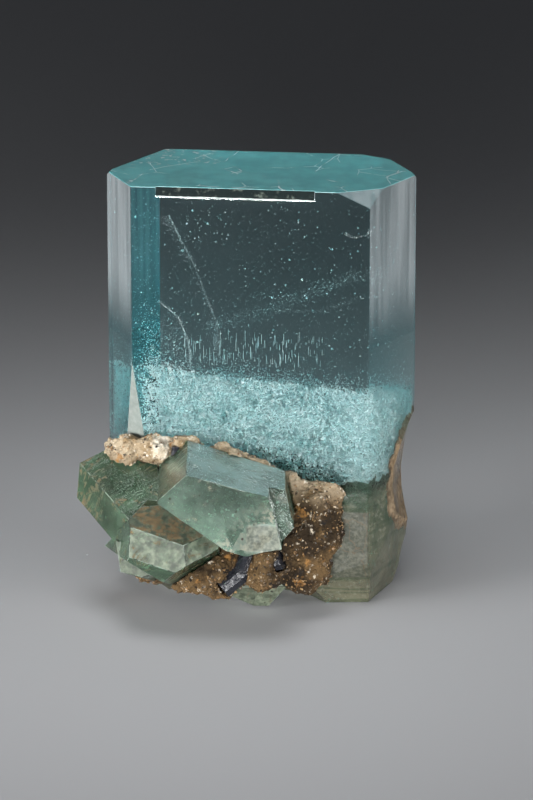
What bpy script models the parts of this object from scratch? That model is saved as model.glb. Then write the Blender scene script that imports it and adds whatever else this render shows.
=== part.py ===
"""Aquamarine crystal on matrix, a small-cabinet mineral specimen.

A stout six-sided prism of aquamarine, flat on top and broken at its foot. Two
green beryl crystals, a chip of beryl, feldspar matrix and black schorl are
grown against the lower part of its front face.

Metres, +Z up along the crystal's long axis. The origin lies on the flat of the
broken foot that the specimen rests on. The front looks along -Y.
All sizes below are millimetres and degrees. A face is written as the direction
it looks in (azimuth from +X toward +Y, elevation) and its distance from the
crystal's own centre.
"""

import math

import bmesh
import bpy
from mathutils import Matrix, Vector, noise

MM = 0.001
GAP = 0.3  # clear space between neighbouring solids
SEAM = 1.7  # feldspar left between the main crystal and the green ones
BLANK = 200.0  # cube that every faceted solid is cut from
RIPPLE_SCALE = 3.0
RIPPLE_DEPTH = 0.05

# Main crystal ---------------------------------------------------------------
HEIGHT = 64.7
HABIT_YAW = 24.2  # azimuth of the first prism face
PRISM = (19.25, 9.95, 19.0, 21.6, 10.37, 19.2)  # centre to face, every 60 degrees
BEVEL = 45.0  # slope of the small faces round the top edge
TOP_BEVELS = (
    (288.2, 40.8, 52.9),  # front right corner, the large one
    (57.4, BEVEL, 56.3),  # back right corner
    (10.0, BEVEL, 60.6),
    (167.0, BEVEL, 61.6),
)
EDGE_CHIP = (232.0, -4.6, 15.76)  # worn strip down the front left edge
FOOT = (
    (191.0, -41.0, 11.5),  # left
    (271.3, -19.2, 9.25),  # front right
    (336.0, -10.6, 17.5),  # right
    (83.0, -37.0, 6.4),  # back
    (35.0, -30.0, 13.0),  # back right
)
# Shell-shaped breaks: centre, half axes, turn about Z.
BREAKS = (
    ((40.6, -7.2, 17.5), (22.0, 34.0, 22.0), -10.0),  # long scoop up the right edge
    ((-6.0, -13.0, -3.0), (17.0, 11.0, 9.0), 0.0),  # hollow behind the matrix
    ((-19.0, 9.0, 67.3), (3.6, 2.6, 3.2), 40.0),  # chips at the back left of the top
    ((-14.0, 13.0, 66.6), (4.4, 1.9, 2.6), 0.0),
    ((-6.0, 16.0, 1.0), (14.0, 7.5, 8.0), 8.0),  # back of the foot
    ((25.5, 9.0, 3.0), (10.0, 12.0, 11.0), 20.0),
)
RIM_CHIP = {"length": 23.4, "middle": -3.6, "slope": 20.0, "drop": 1.5}

# Milky zone of tiny bubbles inside the main crystal. It dips towards the right
# and comes out to the surface only behind the matrix.
MILK_INSET = 1.3  # clear beryl left between the zone and the crystal's faces
MILK_DIP_INSET = 1.5
MILK_REACH = 18.7  # limit on the right, before the inset
MILK_TOP = (64.6, 76.9, 32.1)
MILK_BAND_FLOOR = (270.0, -78.1, -22.6)
MILK_DIP = ((201.3, -59.9, -21.4), (344.9, -51.1, -4.2), (0.0, 90.0, 30.0))
MILK_ROOT = (
    (264.2, 0.0, 10.3),
    (84.2, 0.0, -6.0),
    (174.2, 0.0, 16.0),
    (354.2, 0.0, -6.0),
    (0.0, -90.0, -18.0),
    (0.0, 90.0, 25.2),
)

# Left green crystal ----------------------------------------------------------
LEFT_AXIS = (-0.533, 0.771, 0.348)
LEFT_RIDGE_SIDE = (-0.416, -0.597, 0.685)
LEFT_CENTRE = (-14.6, -17.3, 13.3)
LEFT_PRISM_TURN = 20.0
LEFT_PRISM = (5.0, 6.8, 6.0, 5.5, 5.6, 6.2)
LEFT_TIP = (192.0, 64.0, 12.7)
LEFT_NEAR_END = 0.8
# Pale mass and thin sliver that the left crystal runs into.
MASS_CENTRE = (-15.0, -19.0, 12.5)
MASS = (
    (163.2, 40.0, 6.6),
    (200.0, 5.0, 6.4),
    (262.0, 8.0, 5.2),
    (300.0, 12.0, 6.4),
    (209.0, -54.6, 4.6),
    (322.0, -50.0, 4.6),
    (285.0, 55.0, 5.2),
    (90.0, 0.0, 6.0),
    (0.0, 0.0, 8.0),
    (250.0, -30.0, 5.2),
    (0.0, 90.0, 6.5),
)
SLIVER_CENTRE = (-18.0, -17.0, 9.6)
SLIVER = (
    (180.0, -8.0, 3.6),
    (235.0, -64.0, 2.6),
    (262.0, 5.0, 3.4),
    (0.0, 0.0, 5.0),
    (90.0, 0.0, 5.0),
    (300.0, -60.0, 2.6),
    (40.0, 75.0, 2.6),
)

# Front green crystal ---------------------------------------------------------
FRONT_CENTRE = (-6.2, 0.0, 19.9)
FRONT_TURN = 13.5
FRONT_PRISM = (9.2, 4.6, 8.4, 8.9, 5.1, 9.5)
FRONT_END = 26.2
FRONT_ROOT = 8.0
FRONT_LOWER_BREAKS = ((282.7, 0.0, 6.9), (233.4, 0.0, 4.2))
FRONT_STEP = ((193.5, 0.0, -7.0), (213.0, -62.0, -22.5))
FRONT_SCOOP = ((-1.2, -36.2, 18.5), (11.4, 11.4, 11.0), 0.0)

# Base chip of pale beryl -----------------------------------------------------
SHARD_CENTRE = (-2.0, -12.5, 4.0)
SHARD = (
    (265.0, 10.0, 2.5),
    (268.0, -35.0, 1.7),
    (157.6, 47.9, 3.4),
    (18.0, 41.9, 3.2),
    (0.0, -90.0, 3.6),
    (215.9, -59.5, 2.9),
    (344.0, -38.6, 3.9),
    (90.0, 0.0, 4.0),
)

# Matrix ----------------------------------------------------------------------
# Lumps of feldspar: centre and radius.
LUMPS = (
    ((-23.0, -6.8, 23.4), 1.9),
    ((-20.2, -8.6, 23.6), 2.6),
    ((-16.2, -9.6, 24.2), 2.7),
    ((-11.6, -10.2, 23.6), 3.1),
    ((-6.4, -10.8, 22.6), 3.3),
    ((-1.2, -11.4, 20.8), 3.2),
    ((3.0, -12.0, 18.6), 3.2),
    ((7.2, -12.2, 16.6), 3.8),
    ((9.4, -12.2, 18.2), 1.8),
    ((7.0, -12.6, 11.6), 4.4),
    ((5.4, -13.2, 7.6), 4.4),
    ((-0.6, -14.0, 9.4), 5.4),
    ((-7.0, -14.4, 7.6), 4.6),
    ((-11.6, -13.4, 7.8), 4.4),
    ((-15.6, -11.0, 9.4), 5.6),
    ((-18.4, -8.6, 15.0), 6.0),
    ((-10.0, -11.0, 15.0), 6.0),
    ((-1.0, -12.0, 15.0), 5.0),
    ((-17.0, -5.0, 6.2), 4.4),
)
GRAIN_AT = (-15.7, -11.6, 25.0)
GRAIN_SIZE = (2.1, 2.1, 2.4)
MATRIX_VOXEL = 0.5
MATRIX_DECIMATE = 0.36
GROUND_CLEARANCE = 0.9  # lowest point of the matrix above the resting plane

# Schorl: centre, direction of its long axis (azimuth, elevation), radius, length.
SCHORL = (
    ((-4.6, -16.9, 6.8), (20.0, 35.0), 1.5, 5.2),
    ((-3.4, -18.6, 9.9), (60.0, 50.0), 1.0, 3.0),
    ((0.6, -16.8, 9.2), (-15.0, 20.0), 1.4, 3.8),
    ((-13.4, -12.3, 24.6), (80.0, 60.0), 0.7, 1.9),
)
SCHORL_SIDES = 9

LOOKS = {
    "aquamarine": ((0.42, 0.66, 0.68, 1.0), 0.08),
    "milky_beryl": ((0.72, 0.86, 0.86, 1.0), 0.4),
    "green_beryl": ((0.45, 0.60, 0.50, 1.0), 0.12),
    "pale_beryl": ((0.52, 0.62, 0.50, 1.0), 0.2),
    "feldspar": ((0.50, 0.39, 0.26, 1.0), 0.75),
    "schorl": ((0.02, 0.02, 0.025, 1.0), 0.2),
}


def clear_scene():
    for thing in list(bpy.data.objects):
        bpy.data.objects.remove(thing, do_unlink=True)


def make_collections():
    parts = bpy.data.collections.new("aquamarine_specimen")
    cutters = bpy.data.collections.new("cutters")
    for group in (parts, cutters):
        bpy.context.scene.collection.children.link(group)
    return parts, cutters


def material(name):
    colour, roughness = LOOKS[name]
    mat = bpy.data.materials.new(name)
    mat.use_nodes = True
    mat.diffuse_color = colour
    shader = mat.node_tree.nodes["Principled BSDF"]
    shader.inputs["Base Color"].default_value = colour
    shader.inputs["Roughness"].default_value = roughness
    return mat


def direction(azimuth, elevation=0.0):
    az, el = math.radians(azimuth), math.radians(elevation)
    return Vector((math.cos(el) * math.cos(az), math.cos(el) * math.sin(az), math.sin(el)))


def frame(axis, side, centre):
    """Matrix whose local Z is the crystal's long axis and local X its marked side."""
    z = Vector(axis).normalized()
    y = z.cross(Vector(side)).normalized()
    x = y.cross(z)
    turn = Matrix((x, y, z)).transposed().to_4x4()
    return Matrix.Translation(Vector(centre)) @ turn


def as_object(name, bm, group):
    """Put a bmesh drawn in millimetres into a new object in metres, faces out."""
    bm.normal_update()
    bmesh.ops.recalc_face_normals(bm, faces=bm.faces)
    if bm.calc_volume(signed=True) < 0.0:
        bmesh.ops.reverse_faces(bm, faces=bm.faces)
    bm.transform(Matrix.Scale(MM, 4))
    mesh = bpy.data.meshes.new(name)
    bm.to_mesh(mesh)
    bm.free()
    thing = bpy.data.objects.new(name, mesh)
    group.objects.link(thing)
    return thing


def slice_off(bm, normal, distance):
    """Cut away what lies beyond a plane and close the cut with one flat face."""
    whole = bm.verts[:] + bm.edges[:] + bm.faces[:]
    cut = bmesh.ops.bisect_plane(
        bm,
        geom=whole,
        dist=1e-6,
        plane_co=normal * distance,
        plane_no=normal,
        clear_outer=True,
    )
    rim = [item for item in cut["geom_cut"] if isinstance(item, bmesh.types.BMEdge)]
    if rim:
        bmesh.ops.edgeloop_fill(bm, edges=rim)


def faceted(name, faces, group, placing=Matrix(), grow=0.0):
    """Convex crystal bounded by flat faces given as azimuth, elevation, distance."""
    bm = bmesh.new()
    bmesh.ops.create_cube(bm, size=BLANK)
    for azimuth, elevation, distance in faces:
        slice_off(bm, direction(azimuth, elevation), distance + grow)
    bm.transform(placing)
    return as_object(name, bm, group)


def ellipsoid(name, centre, radii, turn, group, grow=0.0, detail=4):
    """Bowl of a shell-shaped break, slightly uneven."""
    bm = bmesh.new()
    bmesh.ops.create_icosphere(bm, subdivisions=detail, radius=1.0)
    for vert in bm.verts:
        ripple = noise.noise(vert.co * RIPPLE_SCALE + Vector(centre))
        vert.co *= 1.0 + RIPPLE_DEPTH * ripple
    stretch = Matrix.Diagonal([radius + grow for radius in radii] + [1.0])
    spin = Matrix.Rotation(math.radians(turn), 4, "Z")
    bm.transform(Matrix.Translation(Vector(centre)) @ spin @ stretch)
    return as_object(name, bm, group)


def combine(thing, other, operation):
    step = thing.modifiers.new(other.name, "BOOLEAN")
    step.operation = operation
    step.solver = "EXACT"
    step.object = other


def cut_by_all(thing, group):
    step = thing.modifiers.new("clear_of_crystals", "BOOLEAN")
    step.operation = "DIFFERENCE"
    step.solver = "EXACT"
    step.operand_type = "COLLECTION"
    step.collection = group


def prism_faces(distances, turn):
    return [(turn + 60.0 * side, 0.0, distance) for side, distance in enumerate(distances)]


def rim_chip(name, group, grow):
    """Narrow strip broken from the front edge of the top."""
    front = HABIT_YAW + 240.0
    slope = RIM_CHIP["slope"]
    foot = Vector((math.cos(math.radians(slope)), math.sin(math.radians(slope))))
    reach = foot.dot(Vector((PRISM[4], HEIGHT - RIM_CHIP["drop"])))
    half = RIM_CHIP["length"] / 2.0
    faces = (
        (front + 180.0, -slope, -reach),
        (front, 0.0, PRISM[4] + 4.0),
        (0.0, 90.0, HEIGHT + 4.0),
        (front + 90.0, 0.0, half + RIM_CHIP["middle"]),
        (front - 90.0, 0.0, half - RIM_CHIP["middle"]),
    )
    return faceted(name, faces, group, grow=-grow)


def aquamarine(name, group, cutters, grow=0.0):
    faces = prism_faces(PRISM, HABIT_YAW) + list(TOP_BEVELS) + [EDGE_CHIP] + list(FOOT)
    faces.append((0.0, 90.0, HEIGHT))
    faces.append((0.0, -90.0, 0.0))
    thing = faceted(name, faces, group, grow=grow)
    for number, (centre, radii, turn) in enumerate(BREAKS):
        scoop = ellipsoid(f"{name}_break_{number}", centre, radii, turn, cutters, -grow)
        combine(thing, scoop, "DIFFERENCE")
    combine(thing, rim_chip(name + "_rim_chip", cutters, grow), "DIFFERENCE")
    return thing


def milk_sides(inset):
    """Upright walls of the milky zone, this far inside the crystal's faces."""
    sides = prism_faces([distance - inset for distance in PRISM], HABIT_YAW)
    return sides + [(0.0, 0.0, MILK_REACH - inset)]


def milky_zone(name, group, cutters, grow=0.0):
    """Cloud of bubbles across the lower half of the main crystal."""
    band = milk_sides(MILK_INSET) + [MILK_TOP, MILK_BAND_FLOOR]
    thing = faceted(name, band, group, grow=grow)
    low = milk_sides(MILK_DIP_INSET) + list(MILK_DIP)
    dip = faceted(name + "_dip", low, cutters, grow=grow)
    root = faceted(name + "_root", MILK_ROOT, cutters, grow=grow)
    combine(thing, dip, "UNION")
    combine(thing, root, "UNION")
    return thing


def left_beryl(name, group, cutters, grow=0.0):
    placing = frame(LEFT_AXIS, LEFT_RIDGE_SIDE, LEFT_CENTRE)
    faces = prism_faces(LEFT_PRISM, LEFT_PRISM_TURN)
    faces += [LEFT_TIP, (0.0, -90.0, LEFT_NEAR_END)]
    thing = faceted(name, faces, group, placing, grow)
    mass_at = Matrix.Translation(Vector(MASS_CENTRE))
    sliver_at = Matrix.Translation(Vector(SLIVER_CENTRE))
    combine(thing, faceted(name + "_mass", MASS, cutters, mass_at, grow), "UNION")
    combine(thing, faceted(name + "_sliver", SLIVER, cutters, sliver_at, grow), "UNION")
    combine(thing, aquamarine(name + "_seam", cutters, cutters, SEAM - grow), "DIFFERENCE")
    return thing


def front_beryl(name, group, cutters, grow=0.0):
    placing = frame((0.0, -1.0, 0.0), (1.0, 0.0, 0.0), FRONT_CENTRE)
    faces = prism_faces(FRONT_PRISM, FRONT_TURN) + list(FRONT_LOWER_BREAKS)
    faces += [(0.0, 90.0, FRONT_END), (0.0, -90.0, -FRONT_ROOT)]
    thing = faceted(name, faces, group, placing, grow)
    step = faceted(name + "_step", FRONT_STEP, cutters, placing, -grow)
    combine(thing, step, "DIFFERENCE")
    centre, radii, turn = FRONT_SCOOP
    combine(thing, ellipsoid(name + "_scoop", centre, radii, turn, cutters, -grow), "DIFFERENCE")
    combine(thing, aquamarine(name + "_seam", cutters, cutters, SEAM - grow), "DIFFERENCE")
    return thing


def base_shard(name, group, grow=0.0):
    return faceted(name, SHARD, group, Matrix.Translation(Vector(SHARD_CENTRE)), grow)


def schorl(name, group, number, grow=0.0):
    centre, (azimuth, elevation), radius, length = SCHORL[number]
    sides = [(360.0 * side / SCHORL_SIDES, 0.0, radius) for side in range(SCHORL_SIDES)]
    ends = [(0.0, 90.0, length / 2.0), (0.0, -90.0, length / 2.0)]
    placing = frame(direction(azimuth, elevation), (0.0, -1.0, 0.2), centre)
    return faceted(name, sides + ends, group, placing, grow)


def noise_texture(name, kind, scale, depth=2):
    texture = bpy.data.textures.new(name, kind)
    texture.noise_scale = scale * MM
    if kind == "CLOUDS":
        texture.noise_depth = depth
    else:
        texture.distance_metric = "CHEBYCHEV"
    return texture


def fuse(thing):
    """Turn overlapping or folded skins into one clean skin."""
    step = thing.modifiers.new("fuse", "REMESH")
    step.mode = "VOXEL"
    step.voxel_size = MATRIX_VOXEL * MM


def feldspar(name, group):
    """Fused lumps of feldspar with a broken, grainy surface."""
    bm = bmesh.new()
    for centre, radius in LUMPS:
        place = Matrix.Translation(Vector(centre)) @ Matrix.Diagonal([radius] * 3 + [1.0])
        bmesh.ops.create_icosphere(bm, subdivisions=3, radius=1.0, matrix=place)
    block = Matrix.Translation(Vector(GRAIN_AT)) @ Matrix.Rotation(0.4, 4, "Z")
    block = block @ Matrix.Diagonal(list(GRAIN_SIZE) + [1.0])
    bmesh.ops.create_cube(bm, size=1.0, matrix=block)
    thing = as_object(name, bm, group)
    fuse(thing)
    for label, kind, scale, strength in (
        ("blocks", "VORONOI", 2.6, 2.2),
        ("lumps", "CLOUDS", 2.2, 1.5),
    ):
        roughen = thing.modifiers.new(label, "DISPLACE")
        roughen.texture = noise_texture(label, kind, scale)
        roughen.texture_coords = "LOCAL"
        roughen.strength = strength * MM
        roughen.mid_level = 0.5
    fuse(thing)
    thin = thing.modifiers.new("thin", "DECIMATE")
    thin.ratio = MATRIX_DECIMATE
    return thing


def floor_block(group):
    """Everything lower than the matrix may reach."""
    faces = ((0.0, 90.0, GROUND_CLEARANCE),)
    return faceted("below_matrix", faces, group)


def keep_largest_piece(thing):
    """Apply the modifiers and drop crumbs that the cuts left loose."""
    graph = bpy.context.evaluated_depsgraph_get()
    mesh = bpy.data.meshes.new_from_object(thing.evaluated_get(graph))
    thing.modifiers.clear()
    thing.data = mesh
    bm = bmesh.new()
    bm.from_mesh(mesh)
    pieces, seen = [], set()
    for start in bm.verts:
        if start in seen:
            continue
        piece, queue = [], [start]
        seen.add(start)
        while queue:
            vert = queue.pop()
            piece.append(vert)
            for edge in vert.link_edges:
                near = edge.other_vert(vert)
                if near not in seen:
                    seen.add(near)
                    queue.append(near)
        pieces.append(piece)
    pieces.sort(key=len)
    for crumb in pieces[:-1]:
        bmesh.ops.delete(bm, geom=crumb, context="VERTS")
    bm.to_mesh(mesh)
    bm.free()


def build():
    clear_scene()
    parts, cutters = make_collections()
    looks = {name: material(name) for name in LOOKS}

    main = aquamarine("aquamarine_crystal", parts, cutters)
    milk = milky_zone("milky_zone", parts, cutters)
    combine(main, milky_zone("around_milk", cutters, cutters, GAP), "DIFFERENCE")
    left = left_beryl("left_beryl_crystal", parts, cutters)
    front = front_beryl("front_beryl_crystal", parts, cutters)
    shard = base_shard("base_beryl_chip", parts)
    matrix = feldspar("feldspar_matrix", parts)
    needles = [schorl(f"schorl_{n + 1}", parts, n) for n in range(len(SCHORL))]

    clearances = bpy.data.collections.new("clearances")
    cutters.children.link(clearances)
    around_main = aquamarine("around_main", clearances, cutters, GAP)
    around_front = front_beryl("around_front", clearances, cutters, GAP)
    around_left = left_beryl("around_left", clearances, cutters, GAP)
    around_shard = base_shard("around_shard", clearances, GAP)
    combine(shard, around_main, "DIFFERENCE")
    combine(left, around_front, "DIFFERENCE")
    combine(shard, around_front, "DIFFERENCE")
    for needle in needles:
        for neighbour in (around_main, around_front, around_left, around_shard):
            combine(needle, neighbour, "DIFFERENCE")
    for number in range(len(SCHORL)):
        schorl(f"around_schorl_{number + 1}", clearances, number, GAP)
    floor_block(clearances)
    cut_by_all(matrix, clearances)

    dressing = {main: "aquamarine", left: "green_beryl", front: "green_beryl"}
    dressing.update({milk: "milky_beryl", shard: "pale_beryl", matrix: "feldspar"})
    dressing.update({needle: "schorl" for needle in needles})
    bpy.context.view_layer.update()
    for thing, look in dressing.items():
        keep_largest_piece(thing)
        thing.data.materials.clear()
        thing.data.materials.append(looks[look])

    cutters.hide_render = True
    for thing in cutters.all_objects:
        thing.hide_render = True
        thing.display_type = "WIRE"


build()
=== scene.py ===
import math

import bmesh
import bpy
import numpy as np
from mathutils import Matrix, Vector
from mathutils.bvhtree import BVHTree


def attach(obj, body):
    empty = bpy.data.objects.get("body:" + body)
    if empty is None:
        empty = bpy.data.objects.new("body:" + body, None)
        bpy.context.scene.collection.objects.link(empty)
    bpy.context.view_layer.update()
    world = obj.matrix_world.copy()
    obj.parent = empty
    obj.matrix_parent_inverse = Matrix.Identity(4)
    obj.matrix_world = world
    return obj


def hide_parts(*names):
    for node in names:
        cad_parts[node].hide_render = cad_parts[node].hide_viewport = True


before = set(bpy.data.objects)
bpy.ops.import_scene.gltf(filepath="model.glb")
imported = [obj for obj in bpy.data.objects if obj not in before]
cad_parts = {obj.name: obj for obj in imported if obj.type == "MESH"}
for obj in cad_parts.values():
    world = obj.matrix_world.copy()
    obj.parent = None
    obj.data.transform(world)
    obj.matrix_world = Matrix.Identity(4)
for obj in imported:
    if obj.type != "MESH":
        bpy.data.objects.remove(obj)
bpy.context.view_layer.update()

MM = 0.001

# Camera: 225 mm lens on a 36 mm sensor, 0.75 m from a point on the vertical axis of
# the frame at AIM_HEIGHT, looking down at it by PITCH degrees.
LENS = 225.0
SENSOR = 36.0
DISTANCE = 750.0 * MM
PITCH = 19.0
AIM_HEIGHT = 28.84 * MM

# Refraction of beryl, and what it absorbs: colour and density per metre.
BERYL_IOR = 1.577
AQUA = ((0.20, 0.74, 0.78, 1.0), 45.0)
GREEN = ((0.56, 0.80, 0.64, 1.0), 60.0)

# Side faces of the main crystal, as in the CAD: direction of the first in degrees,
# and distances of all six from the axis in mm, anticlockwise. TOP is the height of
# the end face and LEFT_FACE the normal of the fourth side face.
PRISM_YAW = 24.2
PRISM = (19.25, 9.95, 19.0, 21.6, 10.37, 19.2)
TOP = 64.7
LEFT_FACE = (-0.9121, -0.4099, 0.0)

# Line of the front face in mm: y at x = 0 and slope. Inside beryl the camera's line
# of sight falls by SIGHT_FALL for each mm that it goes back. MILK_FRONT is the y that
# the limits of the milky zone are given at.
FRONT_Y, FRONT_SLOPE = -10.42, -0.1016
SIGHT_FALL = 0.211
MILK_FRONT = -10.4

# Point on the roof of the pocket that holds the milky zone (mm), and the outer
# faces that the pocket opens through: normal and distance from the origin. A face
# is part of one when its corners lie within FLUSH of it.
POCKET_ROOF = (-3.0, 0.0, 34.0)
FLUSH = 0.02
OUTER_FACES = (
    ((-0.10106, -0.99488, 0.0), 10.37),
    ((-0.61368, -0.78547, -0.08020), 15.76),
)

# Worn edges: width of the flats (mm), and the least angle (degrees) and length (mm)
# of the edges that get one. Faces shade into each other up to SMOOTH_ANGLE.
WEAR = 0.07
SHARP_ANGLE = 18.0
SHORT_EDGE = 1.2
SMOOTH_ANGLE = 15.0

# Long hollow broken out of the right edge of the main crystal (metres).
SCOOP_CENTRE = (0.0406, -0.0072, 0.0175)
SCOOP_RADII = (0.022, 0.034, 0.022)
SCOOP_TURN = (0.0, 0.0, math.radians(-10.0))

# Normals of faces with a look of their own: on the main crystal the worn strip down
# the front left edge and the chipped rim under the front of the top, on the front
# crystal its top, where a reflection is painted, its brown left side and its broken
# end, and on the left crystal the pale mass that it grows out of, top facet first.
WORN_STRIP = (-0.614, -0.785, -0.080)
TOP_RIM = (-0.0950, -0.9349, 0.3420)
PAINTED_SKY_FACE = (0.284, 0.0, 0.959)
BROWN_SIDE = (-0.97, 0.0, 0.23)
TOWARDS_VIEWER = (0.0, -1.0, 0.0)
BROKEN_END = (-0.135, -0.945, 0.298)
BROKEN_RIGHT = (0.300, -0.935, 0.190)
MASS_FACES = ((0.148, -0.554, 0.819), (0.489, -0.847, 0.208), (-0.138, -0.981, 0.139))

# Regions with a look of their own, as boxes: low and high corner in metres, and how
# far the sides fade. The rim changes from bright to dark between two heights.
NICKED_CORNER = ((-0.021, 0.003, 0.0640), (-0.007, None, None), 0.001)
FROSTED_PATCH = ((0.0098, None, 0.0046), (0.0152, -0.009, 0.0152), 0.00012)
BROKEN_HOLLOW = ((-0.0032, None, 0.0140), (0.0022, -0.0240, 0.0181), 0.0005)
BLOCKY_GRAIN = ((-0.0169, -0.0130, 0.0236), (-0.0145, None, None), 0.0003)
RIM_SPLIT = (0.06345, 0.06355)

# The rock turns from brown to light at about this height in metres, which falls by
# ROCK_TILT for each metre to the right.
ROCK_LIGHT = 0.0195
ROCK_TILT = 0.12

# Green crystals: node, piece, long axis, body colour, rust, clearness, blue (the
# strength of the light-blue reflection painted on the top face) and slot.
GREEN_CRYSTALS = (
    ("left_beryl_crystal", "left_beryl", (-0.533, 0.771, 0.348),
     (0.115, 0.20, 0.125), 0.9, 0.86, 0.0, "green_beryl"),
    ("front_beryl_crystal", "front_beryl", (0.0, -1.0, 0.0),
     (0.23, 0.34, 0.27), 0.6, 0.86, 0.9, "green_beryl"),
    ("base_beryl_chip", "base_beryl", (1.0, 0.3, 0.2),
     (0.17, 0.22, 0.145), 0.5, 0.76, 0.0, "pale_beryl"),
)

# Upper and lower limits of the milky zone, as (x, z) along the front face, and the
# box that its points are drawn in (mm).
MILK_TOP = (
    (-24.0, 38.0), (-15.7, 37.6), (-9.8, 36.4), (-1.0, 35.6),
    (6.4, 34.8), (15.0, 33.6), (22.0, 32.0),
)
MILK_BOTTOM = (
    (-24.0, 25.0), (-16.6, 25.6), (-3.9, 25.6), (3.5, 25.0), (7.9, 22.7), (11.6, 20.0),
    (14.6, 19.0), (17.6, 20.5), (21.0, 24.0),
)
MILK_ROOM = ((-24, -12, 15), (18.5, 12, 46))

# Least depth of the smallest inclusions behind the faces of the main crystal (mm).
SKIN = 0.3

# Veils of small bubbles: path along the front face as (x, z), depth behind it and
# spread to the sides, in mm, and number of bubbles.
VEILS = (
    (((-14.8, 60.5), (-13.0, 57.0), (-11.2, 53.7), (-7.6, 44.0), (-7.0, 38.0)), 3.0, 0.55, 900),
    (((-14.2, 60.5), (-12.6, 57.0), (-10.8, 53.7), (-8.9, 48.5), (-7.2, 44.0), (-6.8, 38.0)),
     2.6, 0.10, 1100),
    (((-15.7, 47.4), (-12.7, 44.5), (-11.5, 41.0), (-11.3, 36.7)), 2.0, 0.30, 600),
    (((-15.7, 47.2), (-12.9, 44.9), (-11.4, 41.0), (-11.1, 36.7)), 1.8, 0.08, 700),
    (((-8.3, 43.5), (-2.0, 45.8), (3.4, 47.8), (9.0, 50.5), (14.8, 52.6)), 9.0, 1.3, 2200),
    (((-15.5, 44.0), (-14.0, 41.0), (-13.0, 38.0)), 6.0, 1.6, 900),
    (((2.0, 46.5), (8.0, 46.5), (14.5, 49.0)), 5.0, 0.5, 350),
    (((-5.0, 47.0), (0.5, 49.5), (5.0, 48.5)), 12.0, 1.2, 300),
    (((11.6, 58.6), (12.6, 57.9), (14.8, 58.4), (15.2, 59.2)), 0.8, 0.25, 400),
    (((-19.5, 62.0), (-18.4, 50.0), (-17.6, 40.0)), 5.0, 1.4, 700),
)

# Relief of the rock: name, kind of texture, its size and the height it adds (mm).
ROCK_RELIEF = (
    ("lumps", "VORONOI", 1.6, 0.55),
    ("pits", "CLOUDS", 0.7, 0.50),
    ("grit", "VORONOI", 0.55, 0.28),
)
ROCK_VOXEL = 0.22

# Grains on the rock: how many before trimming, and how far they stay from the
# crystals and are sunk into the rock (mm).
GRAIN_COUNT = 9000
GRAIN_GAP = 0.45
GRAIN_SUNK = 0.1
# For each kind its name, least and greatest size (mm), then material, its two
# colours and roughness.
GRAINS = (
    ("white_grains", 0.16, 0.48, "pale_feldspar", (0.54, 0.475, 0.385), (0.34, 0.25, 0.145), 0.45),
    ("tan_grains", 0.14, 0.42, "tan_feldspar", (0.30, 0.19, 0.085), (0.16, 0.08, 0.03), 0.45),
    ("brown_grains", 0.18, 0.52, "brown_feldspar", (0.11, 0.07, 0.035), (0.03, 0.021, 0.013), 0.45),
    ("black_grains", 0.16, 0.42, "black_tourmaline", (0.02, 0.02, 0.02), (0.05, 0.04, 0.03), 0.2),
)

# Soft boxes: name, place, point aimed at, size (m), power (W), spread (degrees).
LIGHTS = (
    ("front", (-0.05, -0.42, 0.040), (0.0, 0.0, 0.04), (0.20, 0.06), 0.31, 60.0),
    ("overhead", (-0.02, -0.05, 0.30), (0.0, -0.03, 0.0), (0.14, 0.14), 0.045, 60.0),
    ("left_side", (-0.28, -0.14, 0.05), (0.0, 0.0, 0.035), (0.14, 0.08), 0.11, 50.0),
    ("right_side", (0.28, -0.14, 0.05), (0.0, 0.0, 0.035), (0.14, 0.08), 0.06, 50.0),
)
# Dome: dim behind the crystal, bright in front of it and to the left. It fades
# between two cosines of the angle from its brightest point.
DOME_TOWARD = (-0.35, -0.85, 0.12)
DOME_DIM, DOME_BRIGHT = (0.02, 0.022, 0.025), (0.10, 0.10, 0.103)
DOME_FADE = (0.25, 0.95)


def rgb(red, green, blue):
    return (red, green, blue, 1.0)


# Nodes ------------------------------------------------------------------------


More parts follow.
